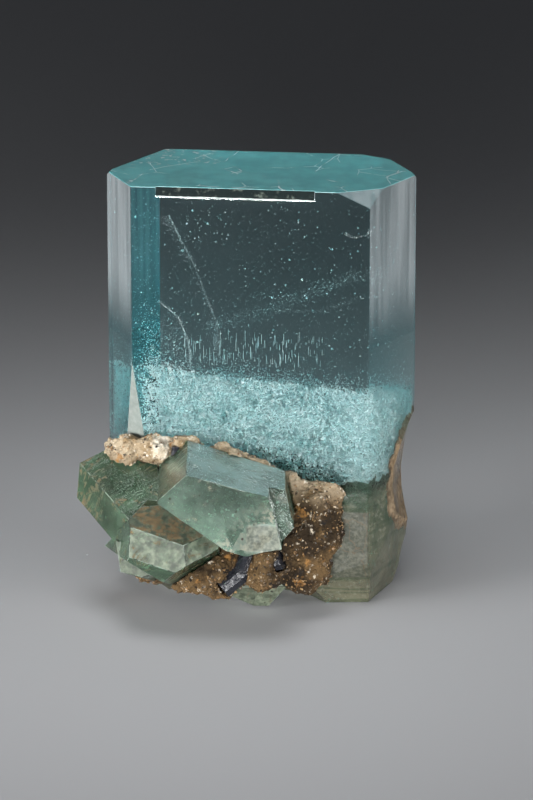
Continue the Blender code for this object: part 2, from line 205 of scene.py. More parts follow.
class Nodes:
    """Small helper for writing a node tree in a few lines."""

    def __init__(self, name):
        self.material = bpy.data.materials.new(name)
        self.material.use_nodes = True
        self.tree = self.material.node_tree
        self.shader = self.tree.nodes["Principled BSDF"]
        self.output = self.tree.nodes["Material Output"]
        self.place = self.add("ShaderNodeTexCoord").outputs["Object"]

    def add(self, kind, links=(), **settings):
        node = self.tree.nodes.new(kind)
        for name, value in settings.items():
            setattr(node, name, value)
        for socket, value in dict(links).items():
            self.put(node.inputs[socket], value)
        return node

    def put(self, socket, value):
        if isinstance(value, bpy.types.NodeSocket):
            self.tree.links.new(value, socket)
        else:
            socket.default_value = value

    def noise(self, scale, detail=4.0, rough=0.55, where=None, distortion=0.0):
        links = {"Vector": where or self.place, "Scale": scale, "Detail": detail}
        links.update({"Roughness": rough, "Distortion": distortion})
        return self.add("ShaderNodeTexNoise", links).outputs["Fac"]

    def voronoi(self, scale, where=None, feature="F1"):
        links = {"Vector": where or self.place, "Scale": scale}
        return self.add("ShaderNodeTexVoronoi", links, feature=feature).outputs["Distance"]

    def cracks(self, scale, wobble_scale, wobble):
        """Distance to the nearest line of a net of wobbly cracks."""
        where = self.wobbled(wobble_scale, wobble)
        return self.voronoi(scale, where, feature="DISTANCE_TO_EDGE")

    def vector(self, operation, links, out="Vector"):
        return self.add("ShaderNodeVectorMath", links, operation=operation).outputs[out]

    def stretched(self, scale):
        links = {"Vector": self.place, "Scale": scale}
        return self.add("ShaderNodeMapping", links).outputs["Vector"]

    def along(self, axis, factor):
        """The place, stretched so that a texture changes faster along an axis."""
        axis = Vector(axis).normalized()
        reach = self.vector("DOT_PRODUCT", {0: self.place, 1: axis}, "Value")
        extra = self.vector("SCALE", {0: axis * (factor - 1.0), "Scale": reach})
        return self.vector("ADD", {0: self.place, 1: extra})

    def wobbled(self, scale, amount):
        """The place, pushed about by noise of this scale."""
        links = {"Vector": self.place, "Scale": scale, "Detail": 3.0}
        colour = self.add("ShaderNodeTexNoise", links).outputs["Color"]
        centred = self.vector("SUBTRACT", {0: colour, 1: (0.5, 0.5, 0.5)})
        small = self.vector("SCALE", {0: centred, "Scale": amount})
        return self.vector("ADD", {0: self.place, 1: small})

    def step(self, value, low, high, to_low=0.0, to_high=1.0):
        """Smooth step of value between low and high."""
        links = {"Value": value, "From Min": low, "From Max": high}
        links.update({"To Min": to_low, "To Max": to_high})
        node = self.add("ShaderNodeMapRange", links, interpolation_type="SMOOTHSTEP")
        return node.outputs["Result"]

    def below(self, value, low, high):
        """1 where value is under low, 0 where it is over high."""
        return self.step(value, low, high, 1.0, 0.0)

    def math(self, operation, a, b=0.0):
        node = self.add("ShaderNodeMath", {0: a, 1: b}, operation=operation)
        return node.outputs["Value"]

    def fold(self, operation, values):
        result = values[0]
        for value in values[1:]:
            result = self.math(operation, result, value)
        return result

    def times(self, *values):
        return self.fold("MULTIPLY", values)

    def plus(self, *values):
        return self.fold("ADD", values)

    def most(self, *values):
        return self.fold("MAXIMUM", values)

    def axes(self):
        return self.add("ShaderNodeSeparateXYZ", {"Vector": self.place}).outputs

    def box(self, low, high, soft):
        """1 inside a box given in metres, 0 outside it; None leaves a side open."""
        result = 1.0
        for axis, socket in enumerate(self.axes()):
            if low[axis] is not None:
                above = self.step(socket, low[axis] - soft, low[axis] + soft)
                result = self.math("MULTIPLY", result, above)
            if high[axis] is not None:
                below = self.below(socket, high[axis] - soft, high[axis] + soft)
                result = self.math("MULTIPLY", result, below)
        return result

    def flat_normal(self):
        return self.add("ShaderNodeNewGeometry").outputs["True Normal"]

    def facing(self, direction, low, high):
        """1 on faces whose flat normal points this way, 0 on the others."""
        links = {0: self.flat_normal(), 1: Vector(direction).normalized()}
        return self.step(self.vector("DOT_PRODUCT", links, "Value"), low, high)

    def mix(self, factor, a, b):
        node = self.add("ShaderNodeMix", data_type="RGBA")
        self.put(node.inputs["Factor"], factor)
        self.put(node.inputs[6], a)
        self.put(node.inputs[7], b)
        return node.outputs[2]

    def two(self, field, low, high, first, second):
        """Colour that turns from first to second where a field passes low and high."""
        return self.mix(self.step(field, low, high), rgb(*first), rgb(*second))

    def layered(self, base, *layers):
        """A colour with others laid over it, each through its mask."""
        for mask, colour in layers:
            base = self.mix(mask, base, colour)
        return base

    def blend(self, factor, a, b):
        node = self.add("ShaderNodeMix", data_type="FLOAT")
        self.put(node.inputs["Factor"], factor)
        self.put(node.inputs[2], a)
        self.put(node.inputs[3], b)
        return node.outputs[0]

    def bump(self, height, distance, strength=1.0, normal=None):
        links = {"Height": height, "Distance": distance, "Strength": strength}
        if normal is not None:
            links["Normal"] = normal
        return self.add("ShaderNodeBump", links).outputs["Normal"]

    def set(self, **inputs):
        for name, value in inputs.items():
            self.put(self.shader.inputs[name.replace("_", " ")], value)

    def absorb(self, tint, density):
        volume = self.add("ShaderNodeVolumeAbsorption", {"Color": tint, "Density": density})
        self.tree.links.new(volume.outputs["Volume"], self.output.inputs["Volume"])


# Materials ----------------------------------------------------------------------


def floor_material():
    n = Nodes("stage_floor")
    n.set(Base_Color=rgb(0.50, 0.505, 0.52), Roughness=1.0, Specular_IOR_Level=0.0)
    return n.material


def beryl(n, tint, rough, opaque, normal, inside):
    """Beryl that lets light through except where it is opaque."""
    clear = n.math("SUBTRACT", 1.0, opaque)
    n.set(
        Base_Color=tint, Roughness=rough, IOR=BERYL_IOR, Transmission_Weight=clear, Normal=normal
    )
    n.absorb(*inside)


def hair_cracks(n):
    """Two nets of hair cracks, 1 on the lines."""
    curls = n.cracks(75.0, 60.0, 0.006)
    hairs = n.cracks(150.0, 35.0, 0.009)
    return n.most(n.below(curls, 0.002, 0.009), n.below(hairs, 0.003, 0.012))


def sage(n, z, cloudy, grainy):
    """Colour of the main crystal's frosted foot, with level growth bands."""
    bands = n.step(n.noise(260.0, 4.0, where=n.stretched((0.25, 0.25, 5.0))), 0.50, 0.60)
    body = n.two(cloudy, 0.40, 0.62, (0.058, 0.094, 0.055), (0.112, 0.122, 0.078))
    body = n.mix(n.step(z, 0.003, 0.014), rgb(0.155, 0.150, 0.098), body)
    return n.layered(
        body,
        (n.times(bands, 0.55), rgb(0.045, 0.070, 0.036)),
        (n.step(grainy, 0.50, 0.70, 0.0, 0.30), rgb(0.38, 0.38, 0.31)),
    )


def in_scoop(n):
    """1 in the hollow broken out of the right edge, with a ragged outline."""
    links = {"Location": SCOOP_CENTRE, "Rotation": SCOOP_TURN, "Scale": SCOOP_RADII}
    links["Vector"] = n.place
    shell = n.add("ShaderNodeMapping", links, vector_type="TEXTURE").outputs["Vector"]
    reach = n.vector("LENGTH", {0: shell}, "Value")
    ragged = n.plus(reach, n.times(n.noise(380.0, 5.0, 0.65), 0.10))
    return n.below(ragged, 1.050, 1.072)


def aquamarine_faces():
    n = Nodes("aquamarine_faces")
    z = n.axes()[2]
    streaks = n.noise(700.0, 4.0, where=n.stretched((1.0, 1.0, 0.05)))
    cloudy = n.noise(210.0, 6.0, 0.65)
    grainy = n.noise(1500.0, 4.0, 0.7)

    # Satin top with scratches and a nicked corner.
    on_top = n.step(z, 0.0646, 0.06469)
    satin = n.times(on_top, n.step(n.noise(300.0, 4.0), 0.3, 0.7, 0.46, 0.62))
    scratched = n.times(on_top, hair_cracks(n), n.step(n.noise(160.0, 3.0), 0.47, 0.60))
    nicked = n.times(n.box(*NICKED_CORNER), n.step(n.noise(1100.0, 5.0), 0.56, 0.62))

    # Frosted foot, and a frosted, cracked patch low on the front face.
    foot = n.below(n.plus(z, n.times(n.noise(220.0, 3.0), 0.006)), 0.0195, 0.0235)
    frosted = n.times(foot, n.step(cloudy, 0.35, 0.65, 0.42, 0.72))
    patch = n.box(*FROSTED_PATCH)
    cracked = n.times(patch, n.step(n.cracks(170.0, 300.0, 0.004), 0.004, 0.014, 0.75, 0.0))

    # Rust-coloured hollow up the right edge, with black specks.
    scoop = in_scoop(n)
    rusty = n.times(scoop, n.step(n.noise(170.0, 6.0, 0.7), 0.40, 0.58, 0.10, 0.90))
    specks = n.times(scoop, n.below(n.voronoi(800.0), 0.20, 0.28))
    specks = n.times(specks, n.step(n.noise(200.0, 3.0), 0.48, 0.55))

    # Haze of growth lines on the two narrow front faces, fading downwards.
    back = n.add("ShaderNodeSeparateXYZ", {"Vector": n.flat_normal()}).outputs["Y"]
    narrow = n.times(n.step(back, -0.75, -0.70), n.below(back, -0.30, -0.25))
    haze = n.times(narrow, n.step(z, 0.040, 0.052), n.step(streaks, 0.25, 0.75, 0.10, 0.28))

    # Worn strip down the front left edge.
    strip = n.facing(WORN_STRIP, 0.9965, 0.9985)
    rubbed = n.noise(500.0, 5.0, where=n.stretched((1.0, 1.0, 0.3)))
    worn = n.times(strip, n.step(rubbed, 0.3, 0.7, 0.93, 1.0))

    # Chipped rim under the front edge of the top, with a bright lower edge.
    chips = n.noise(900.0, 6.0, 0.65)
    rim = n.facing(TOP_RIM, 0.996, 0.9985)
    level = n.plus(z, n.times(n.noise(1400.0, 3.0), 0.0002))
    bright_rim = n.times(rim, n.below(level, *RIM_SPLIT))
    dark_rim = n.times(rim, n.step(level, *RIM_SPLIT))

    tint = n.layered(
        rgb(1.0, 1.0, 1.0),
        (n.times(narrow, n.math("GREATER_THAN", haze, 0.001)), rgb(0.74, 0.80, 0.83)),
        (n.step(foot, 0.0, 0.03), sage(n, z, cloudy, grainy)),
        (patch, n.two(grainy, 0.4, 0.65, (0.045, 0.050, 0.032), (0.112, 0.113, 0.080))),
        (strip, n.mix(grainy, rgb(0.06, 0.08, 0.075), rgb(0.30, 0.33, 0.30))),
        (bright_rim, rgb(0.50, 0.58, 0.55)),
        (
            n.step(rusty, 0.01, 0.06),
            n.two(grainy, 0.35, 0.65, (0.11, 0.068, 0.032), (0.29, 0.21, 0.125)),
        ),
        (specks, rgb(0.03, 0.025, 0.02)),
        (cracked, rgb(0.10, 0.075, 0.04)),
        (dark_rim, n.two(chips, 0.52, 0.66, (0.012, 0.018, 0.018), (0.12, 0.14, 0.12))),
        (on_top, rgb(0.34, 0.88, 0.90)),
        (n.most(scratched, nicked), rgb(0.85, 0.95, 0.95)),
    )
    rough = n.plus(0.012, n.times(foot, 0.26), n.times(patch, 0.2), n.times(rusty, 0.3))
    rough = n.plus(rough, n.times(scratched, 0.4), n.times(rim, 0.03), n.times(strip, 0.6))
    chipped = n.times(dark_rim, n.step(chips, 0.40, 0.60, 0.92, 0.6))
    opaque = n.most(n.times(patch, 0.82), rusty, n.times(scratched, 0.8), frosted)
    opaque = n.most(opaque, specks, haze, satin, worn, bright_rim, chipped, nicked)

    # Fine upright growth lines on the sides, and shells broken out of the foot.
    relief = n.plus(n.times(streaks, 0.5), n.times(n.noise(3000.0, 3.0), 0.15))
    normal = n.bump(relief, 0.000008, 0.5)
    shells = n.times(n.noise(110.0, 2.0, distortion=1.5), 0.8)
    shells = n.plus(shells, n.times(n.noise(700.0, 5.0), 0.2), -0.5)
    normal = n.bump(n.times(shells, foot), 0.0009, 0.7, normal)
    beryl(n, tint, rough, opaque, normal, AQUA)
    return n.material


def green_faces(name, axis, body, rust, clear, blue):
    """Cloudy green crystal with growth lines across its long axis.

    Only the front crystal has a painted light-blue reflection on its top, and with it
    a broken end. The other two look like the pale mass near the ground and on the
    mass's own facets.
    """
    n = Nodes(name)
    x, _, z = n.axes()
    lines = n.noise(330.0, 6.0, 0.66, where=n.along(axis, 5.0))
    growth = n.step(lines, 0.48, 0.66)
    cloud = n.noise(190.0, 6.0, 0.62)
    grainy = n.noise(1300.0, 5.0, 0.7)

    def shade(factor, lift=0.0):
        return rgb(*(factor * c + lift for c in body))

    # Rust in patches, along growth lines and towards the far left; and black dirt.
    patches = n.step(n.noise(300.0, 6.0, 0.7), 0.55, 0.64)
    patches = n.times(patches, n.step(grainy, 0.40, 0.58), rust)
    seams = n.times(n.step(lines, 0.54, 0.60), n.step(n.noise(120.0, 2.0), 0.46, 0.56))
    outer = n.times(n.below(x, -0.0275, -0.0210), n.step(lines, 0.46, 0.56))
    outer = n.times(outer, n.step(grainy, 0.35, 0.55))
    stained = n.most(patches, n.times(seams, rust * 0.7), n.times(outer, rust))
    dirt = n.times(n.below(n.voronoi(620.0), 0.10, 0.15), n.step(n.noise(240.0, 3.0), 0.50, 0.58))

    tint = n.layered(
        n.mix(n.step(cloud, 0.30, 0.75), shade(1.0), shade(1.3, 0.02)),
        (n.times(growth, 0.45), shade(0.62)),
        (n.step(grainy, 0.52, 0.74, 0.0, 0.40), rgb(0.30, 0.37, 0.29)),
    )
    milky = n.step(cloud, 0.35, 0.70, 1.0 - clear, 1.0 - clear + 0.20)
    matt = n.times(growth, 0.08)
    if blue:
        # Top face painted light blue as a reflection of the light above, dark green heart,
        # sugary lower right, brown left side.
        # sky: the top face, painted light blue and a little more opaque as a painted reflection.
        sky = n.facing(PAINTED_SKY_FACE, 0.990, 0.995)
        heart = n.step(n.plus(z, n.times(cloud, 0.008)), 0.0235, 0.0265)
        heart = n.times(heart, n.below(sky, 0.1, 0.5), n.step(grainy, 0.2, 0.6, 0.75, 0.45))
        right = n.plus(n.times(x, 0.8), n.times(z, -1.0), n.times(cloud, 0.010))
        sugar = n.times(n.step(right, -0.0190, -0.0130), n.step(grainy, 0.44, 0.60))
        sugar = n.times(sugar, n.facing(TOWARDS_VIEWER, 0.9, 0.95))
        brown = n.times(n.facing(BROWN_SIDE, 0.90, 0.95), n.step(cloud, 0.40, 0.55))
        broken = n.most(
            n.facing(BROKEN_END, 0.9970, 0.9985),
            n.times(n.facing(BROKEN_RIGHT, 0.9970, 0.9985), 0.7),
            n.box(*BROKEN_HOLLOW),
        )
        tint = n.layered(
            tint,
            # Painted reflection: the top face turned light blue.
            (n.times(sky, blue), rgb(0.56, 0.76, 0.75)),
            (heart, shade(0.38)),
            (sugar, rgb(0.34, 0.32, 0.25)),
            (brown, rgb(0.22, 0.17, 0.11)),
            (broken, n.two(grainy, 0.35, 0.65, (0.030, 0.042, 0.028), (0.135, 0.15, 0.112))),
        )
        matt = n.plus(matt, n.times(broken, 0.5))
        stained = n.times(stained, n.step(broken, 0.0, 1.0, 1.0, 0.3))
        # The painted reflection also makes the top face a little more opaque.
        milky = n.plus(milky, n.times(sky, 0.15), n.times(sugar, 0.4), n.times(broken, 0.7))
    else:
        # Pale mass that the crystal grows out of, rusty along its top.
        facets = [n.facing(face, 0.996, 0.998) for face in MASS_FACES]
        low = n.below(n.plus(z, n.times(cloud, 0.006)), 0.0085, 0.0125)
        pale = n.most(*facets, low)
        chalk = n.two(grainy, 0.40, 0.62, (0.10, 0.125, 0.08), (0.24, 0.27, 0.19))
        tint = n.mix(n.times(pale, 0.8), tint, chalk)
        matt = n.plus(matt, n.times(pale, 0.55))
        crust = n.times(facets[0], n.step(n.noise(260.0, 6.0, 0.72), 0.44, 0.54))
        crust = n.times(crust, n.step(grainy, 0.34, 0.50))
        stained = n.most(stained, n.times(crust, rust))
        mottled = n.step(n.noise(520.0, 5.0, 0.7), 0.40, 0.62, 0.0, 0.40)
        milky = n.plus(milky, n.times(pale, mottled))

    tint = n.layered(
        tint,
        (stained, n.two(grainy, 0.35, 0.65, (0.065, 0.034, 0.010), (0.155, 0.095, 0.038))),
        (dirt, rgb(0.02, 0.015, 0.01)),
    )
    rough = n.plus(0.07, n.times(stained, 0.4), matt)
    opaque = n.most(n.times(stained, 0.9), dirt, n.plus(milky, n.times(growth, 0.12)))
    normal = n.bump(n.plus(lines, n.times(n.noise(1800.0, 3.0), 0.15)), 0.00008, 0.9)
    beryl(n, tint, rough, opaque, normal, GREEN)
    return n.material


def edge_material():
    """Chipped, frosted beryl along the edges of the green crystals."""
    n = Nodes("worn_edges")
    chipped = n.step(n.noise(420.0, 5.0, 0.7), 0.40, 0.58)
    grainy = n.noise(1500.0, 4.0, 0.7)
    n.set(
        Base_Color=n.two(grainy, 0.40, 0.62, (0.14, 0.19, 0.145), (0.30, 0.36, 0.30)),
        Roughness=n.plus(0.10, n.times(chipped, 0.45)),
        IOR=BERYL_IOR,
        Transmission_Weight=n.blend(chipped, 0.85, 0.25),
        Normal=n.bump(grainy, 0.00004),
    )
    n.absorb(*GREEN)
    return n.material


def bubble_material(name, colour):
    n = Nodes(name)
    shade = n.mix(n.noise(900.0, 2.0), colour, rgb(1.0, 1.0, 1.0))
    n.set(Base_Color=shade, Roughness=0.35, IOR=1.33)
    return n.material


def rock_material():
    """Light, grainy upper edge; brown, pitted mass towards the lower right."""
    n = Nodes("feldspar")
    x, _, z = n.axes()
    patches = n.noise(150.0, 6.0, 0.62)
    light = n.step(n.plus(z, n.times(x, ROCK_TILT)), 0.0175, 0.0225)
    brown = n.two(patches, 0.42, 0.60, (0.110, 0.068, 0.030), (0.022, 0.014, 0.007))
    beige = n.two(patches, 0.45, 0.66, (0.38, 0.31, 0.215), (0.21, 0.135, 0.060))
    white = n.two(patches, 0.42, 0.62, (0.66, 0.61, 0.52), (0.46, 0.38, 0.27))
    base = n.layered(
        n.mix(light, brown, beige),
        (n.step(n.noise(800.0, 4.0, 0.7), 0.60, 0.70), rgb(0.55, 0.48, 0.38)),
        (n.step(n.noise(520.0, 5.0, 0.7), 0.58, 0.66), rgb(0.015, 0.012, 0.01)),
        (n.step(n.noise(330.0, 5.0, 0.6), 0.60, 0.68), rgb(0.26, 0.13, 0.04)),
        (n.box(*BLOCKY_GRAIN), white),
    )
    relief = n.plus(n.noise(1500.0, 6.0, 0.7), n.times(n.voronoi(1700.0), 0.6))
    normal = n.bump(relief, 0.00035, 0.8)
    n.set(Base_Color=base, Roughness=0.9, Specular_IOR_Level=0.2, Normal=normal)
    return n.material


def grain_material(name, colour, second, rough):
    n = Nodes(name)
    shade = n.two(n.noise(900.0, 4.0), 0.4, 0.62, colour, second)
    n.set(Base_Color=shade, Roughness=rough, Normal=n.bump(n.noise(4000.0, 4.0), 0.00008))
    return n.material


def schorl_material():
    n = Nodes("schorl")
    ribs = n.noise(1600.0, 4.0)
    n.set(
        Base_Color=n.mix(ribs, rgb(0.006, 0.006, 0.008), rgb(0.03, 0.032, 0.04)),
        Roughness=n.step(ribs, 0.3, 0.7, 0.10, 0.35),
        Normal=n.bump(ribs, 0.0002, 0.8),
    )
    return n.material


# Meshes ---------------------------------------------------------------------------


def object_from(name, mesh, material):
    thing = bpy.data.objects.new(name, mesh)
    bpy.context.scene.collection.objects.link(thing)
    if mesh.materials:
        mesh.materials.clear()
    mesh.materials.append(material)
    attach(thing, "root")
    return thing


def mesh_from(name, bm):
    mesh = bpy.data.meshes.new(name)
    bm.to_mesh(mesh)
    bm.free()
    return mesh


def tree_of(mesh):
    """Search tree for the nearest point on a mesh."""
    corners = [v.co for v in mesh.vertices]
    return BVHTree.FromPolygons(corners, [p.vertices for p in mesh.polygons])


def turns(count, rng):
    """Random rotation matrices."""
    q = rng.normal(size=(count, 4))
    q /= np.linalg.norm(q, axis=1)[:, None]
    w, x, y, z = q.T
    rows = (
        (1 - 2 * (y * y + z * z), 2 * (x * y - z * w), 2 * (x * z + y * w)),
        (2 * (x * y + z * w), 1 - 2 * (x * x + z * z), 2 * (y * z - x * w)),
        (2 * (x * z - y * w), 2 * (y * z + x * w), 1 - 2 * (x * x + y * y)),
    )
    return np.moveaxis(np.array(rows), 2, 0)


def crumbs(name, points, sizes, material, seed, flat=1.0, upright=False):
    """One mesh with a small closed four-sided crumb at each point (mm)."""
    rng = np.random.default_rng(seed)
    count = len(points)
    corners = np.array(((1, 1, 1), (1, -1, -1), (-1, 1, -1), (-1, -1, 1))) / math.sqrt(3)
    shape = corners[None] * rng.uniform(0.6, 1.4, (count, 4, 1))
    shape[:, :, 2] *= flat
    if not upright:
        shape = np.einsum("nij,nkj->nki", turns(count, rng), shape)
    verts = (points[:, None] + shape * sizes[:, None, None]) * MM
    sides = np.array(((0, 1, 2), (0, 2, 3), (0, 3, 1), (1, 3, 2)))
    faces = (np.arange(count)[:, None, None] * 4 + sides[None]).reshape(-1, 3)
    mesh = bpy.data.meshes.new(name)
    mesh.from_pydata(verts.reshape(-1, 3).tolist(), [], faces.tolist())
    return object_from(name, mesh, material)


def rods(name, points, widths, lengths, material):
    """One mesh of upright closed rods of four sides (mm)."""
    count = len(points)
    ring = np.array(((1, 0), (0, 1), (-1, 0), (0, -1)), float)
    verts = np.zeros((count, 8, 3))
    verts[:, :4, :2] = ring[None] * widths[:, None, None]
    verts[:, 4:, :2] = verts[:, :4, :2]
    verts[:, 4:, 2] = lengths[:, None]
    verts += points[:, None]
    sides = ((3, 2, 1, 0), (4, 5, 6, 7), (0, 1, 5, 4), (1, 2, 6, 5), (2, 3, 7, 6), (3, 0, 4, 7))
    faces = (np.arange(count)[:, None, None] * 8 + np.array(sides)[None]).reshape(-1, 4)
    mesh = bpy.data.meshes.new(name)
    mesh.from_pydata((verts * MM).reshape(-1, 3).tolist(), [], faces.tolist())
    return object_from(name, mesh, material)


def inside_prism(points, margin):
    """Which points (mm) lie at least this far inside the main crystal's faces."""
    keep = points[:, 2] < TOP - margin
    for side, distance in enumerate(PRISM):
        angle = math.radians(PRISM_YAW + 60.0 * side)
        reach = points[:, 0] * math.cos(angle) + points[:, 1] * math.sin(angle)
        keep &= reach < distance - margin
    return keep


def inner(x, z, depth):
    """Point seen at (x, z) on the front face, this far behind it (mm)."""
    return np.stack([x, FRONT_Y + FRONT_SLOPE * x + depth, z - SIGHT_FALL * depth], -1)


def ripple(points, size, seed):
    """Smooth uneven field, about -1 to 1, with lumps of this size (mm)."""
    rng = np.random.default_rng(seed)
    waves = rng.normal(size=(14, 3)) * (2.6 / size)
    phases = rng.uniform(0, 2 * math.pi, 14)
    return np.sin(points @ waves.T + phases).sum(1) / 3.6


def milk_limit(points, limit):
    """Height (mm) of a limit of the milky zone at these points."""
    fall = SIGHT_FALL * (points[:, 1] - MILK_FRONT)
    return np.interp(points[:, 0], *zip(*limit)) - fall


def milk_points(rng, count):
    """Random points (mm) in the milky zone, with a haze above and a trail below."""
    kept = []
    total = 0
    while total < count:
        p = rng.uniform(*MILK_ROOM, (count, 3))
        over = p[:, 2] - (milk_limit(p, MILK_TOP) + 0.8 * ripple(p, 5.0, 1))
        under = (milk_limit(p, MILK_BOTTOM) + 0.3 * ripple(p, 4.0, 2)) - p[:, 2]
        # Dense between the limits; it thins out quickly above and slowly below.
        chance = np.where(over > 0, 0.40 * np.exp(-over / 0.9), 1.0)
        # The haze above reaches higher at the left.
        left = np.clip((-10.5 - p[:, 0]) / 5.0, 0, 1)
        chance = np.maximum(chance, 0.30 * left * np.exp(-np.maximum(over, 0) / 3.4))
        chance = np.where(under > 0, 0.40 * np.exp(-under / 7.0), chance)
        # Lumps and gaps.
        chance *= np.clip(0.55 + 0.6 * ripple(p, 0.9, 3) + 0.3 * ripple(p, 3.5, 4), 0.04, 1.0)
        # Light only reaches the outer few millimetres, so the middle is thinner.
        chance *= np.where(inside_prism(p, 4.0), 0.35, 1.0)
        # Clear beryl towards the left side, behind the front few millimetres.
        from_left = PRISM[3] - p @ LEFT_FACE
        clear = (from_left < 11.0) & (p[:, 1] > -5.0 + ripple(p, 4.0, 5))
        chance *= np.where(clear, 0.04, 1.0)
        keep = (rng.uniform(size=count) < chance) & inside_prism(p, 0.5) & (from_left > 2.6)
        kept.append(p[keep])
        total += int(keep.sum())
    return np.concatenate(kept)[:count]


def inside_solid(points, mesh):
    """Which points (mm) lie at least 0.25 mm inside a closed mesh."""
    tree = tree_of(mesh)
    keep = []
    for point in points * MM:
        spot, normal, _, distance = tree.find_nearest(Vector(point))
        keep.append((spot - Vector(point)).dot(normal) > 0 and distance > 0.25 * MM)
    return np.array(keep)


def veil_points(rng):
    kept = []
    for path, depth, width, count in VEILS:
        path = np.array(path, float)
        t = rng.uniform(0, len(path) - 1, count)
        i = np.arange(len(path))
        x = np.interp(t, i, path[:, 0])
        z = np.interp(t, i, path[:, 1])
        x += rng.normal(0, width, count)
        z += 0.4 * rng.normal(0, width, count)
        kept.append(inner(x, z, depth + rng.normal(0, 0.6, count)))
    return np.concatenate(kept)


def worn_edges(bm):
    """Narrow flat along every sharp edge of a faceted solid, as its second material."""
    bmesh.ops.dissolve_limit(bm, angle_limit=math.radians(0.3), verts=bm.verts, edges=bm.edges)
    sharp = [
        e for e in bm.edges
        if e.is_manifold
        and e.calc_face_angle(0.0) > math.radians(SHARP_ANGLE)
        and e.calc_length() > SHORT_EDGE * MM
    ]
    flats = bmesh.ops.bevel(
        bm, geom=sharp, offset=WEAR * MM, offset_type="OFFSET", segments=1, profile=0.5,
        affect="EDGES", clamp_overlap=False,
    )["faces"]
    for face in flats:
        face.material_index = 1
    bmesh.ops.remove_doubles(bm, verts=bm.verts, dist=0.0005 * MM)
    bmesh.ops.triangulate(bm, faces=bm.faces)
    for face in bm.faces:
        face.smooth = True
    for e in bm.edges:
        e.smooth = e.calc_face_angle(0.0) < math.radians(SMOOTH_ANGLE)


def solid_of(node):
    """A CAD solid to edit, with its doubled corners merged."""
    bm = bmesh.new()
    bm.from_mesh(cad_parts[node].data)
    bmesh.ops.remove_doubles(bm, verts=bm.verts, dist=0.001 * MM)
    return bm


def worn_crystal(node, name, material, edge):
    bm = solid_of(node)
    worn_edges(bm)
    thing = object_from(name, mesh_from(name, bm), material)
    thing.data.materials.append(edge)
    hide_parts(node)


def on_outside(face):
    """Whether a face lies on one of the outer faces round the pocket's mouth."""
    for normal, distance in OUTER_FACES:
        heights = [vert.co.dot(Vector(normal)) / MM - distance for vert in face.verts]
        if all(abs(height) < FLUSH for height in heights):
            return True
    return False


def clear_crystal(material):
    """The main crystal whole, without the pocket that its milky zone lies in."""
    bm = solid_of("aquamarine_crystal")
    bmesh.ops.dissolve_degenerate(bm, edges=bm.edges, dist=0.001 * MM)
    # The pocket is what can be reached from its roof without crossing an outer face.
    roof = Vector(POCKET_ROOF) * MM
    pocket = {min(bm.faces, key=lambda face: (face.calc_center_median() - roof).length)}
    border = list(pocket)
    while border:
        for side in border.pop().edges:
            for face in side.link_faces:
                if face not in pocket and not on_outside(face):
                    pocket.add(face)
                    border.append(face)
    bmesh.ops.delete(bm, geom=list(pocket), context="FACES")
    mouth = [edge for edge in bm.edges if len(edge.link_faces) == 1]
    bmesh.ops.holes_fill(bm, edges=mouth, sides=0)
    loose = [vert for vert in bm.verts if not vert.link_faces]
    bmesh.ops.delete(bm, geom=loose, context="VERTS")
    bmesh.ops.triangulate(bm, faces=bm.faces)
    bmesh.ops.recalc_face_normals(bm, faces=bm.faces)
    worn_edges(bm)
    mesh = mesh_from("clear_aquamarine", bm)
    thing = object_from("clear_aquamarine", mesh, material)
    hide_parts("aquamarine_crystal")


def milk_bubbles(rng, white):
    for number in range(2):
        points = milk_points(rng, 48000)
        sizes = rng.uniform(0.08, 0.17, len(points))
        big = rng.uniform(size=len(points)) < 0.08
        sizes[big] = rng.uniform(0.18, 0.30, int(big.sum()))
        sizes *= np.where(points[:, 2] > milk_limit(points, MILK_TOP), 0.55, 1.0)
        name = f"milky_bubbles_{number + 1}"
        cloud = crumbs(name, points, sizes, white, 5 + number)
        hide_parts("milky_zone")


def sprinkled(rng, name, low, high, count, mean, least, material, seed):
    """Specks spread evenly through a box inside the main crystal (mm)."""
    points = rng.uniform(low, high, (count, 3))
    points = points[inside_prism(points, SKIN)]
    sizes = rng.exponential(mean, len(points)) + least
    crumbs(name, points, sizes, material, seed)


def glints(rng, white):
    """Flakes just behind the front face, thickest near the milk's upper limit."""
    count = 340
    x = rng.uniform(-14.5, 8.6, count)
    z = np.interp(x, (-14.5, 8.6), (37.2, 34.6)) - rng.exponential(5.0, count)
    spots = inner(x, z, rng.uniform(0.2, 1.4, count))
    sizes = rng.uniform(0.14, 0.38, count)
    near = z > 22.0
    crumbs("glints", spots[near], sizes[near], white, 15, flat=0.3)


def green_specks(rng, white):
    """Small flakes in the two green crystals, some of them larger."""
    larger = 40
    for number, node in enumerate(("left_beryl_crystal", "front_beryl_crystal")):
        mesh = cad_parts[node].data
        box = np.array([v.co for v in mesh.vertices]) / MM
        spots = rng.uniform(box.min(0), box.max(0), (3000, 3))
        spots = spots[inside_solid(spots, mesh)]
        sizes = rng.exponential(0.04, len(spots)) + 0.03
        sizes[:larger] = rng.uniform(0.2, 0.5, larger)
        name = node.replace("crystal", "specks")
        crumbs(name, spots, sizes, white, 16 + number, flat=0.15)


def level_cracks(rng, white):
    """Level cracks at the upper limit of the milky zone."""
    count = 170
    x = rng.uniform(-10.0, 6.6, count)
    z = np.interp(x, (-10.0, 6.6), (36.9, 35.2)) + rng.normal(0, 0.12, count)
    spots = inner(x, z, rng.uniform(0.6, 6.0, count))
    sizes = rng.uniform(0.12, 0.42, count)
    crumbs("level_cracks", spots, sizes, white, 21, flat=0.06, upright=True)


def bubble_cluster(rng, white):
    """A few bubbles high up on the left."""
    count = 34
    x = rng.uniform(-12, -5.5, count)
    z = rng.uniform(56.5, 61.5, count)
    spots = inner(x, z, rng.uniform(1.5, 3.0, count))
    crumbs("bubble_cluster", spots, rng.uniform(0.07, 0.16, count), white, 9)


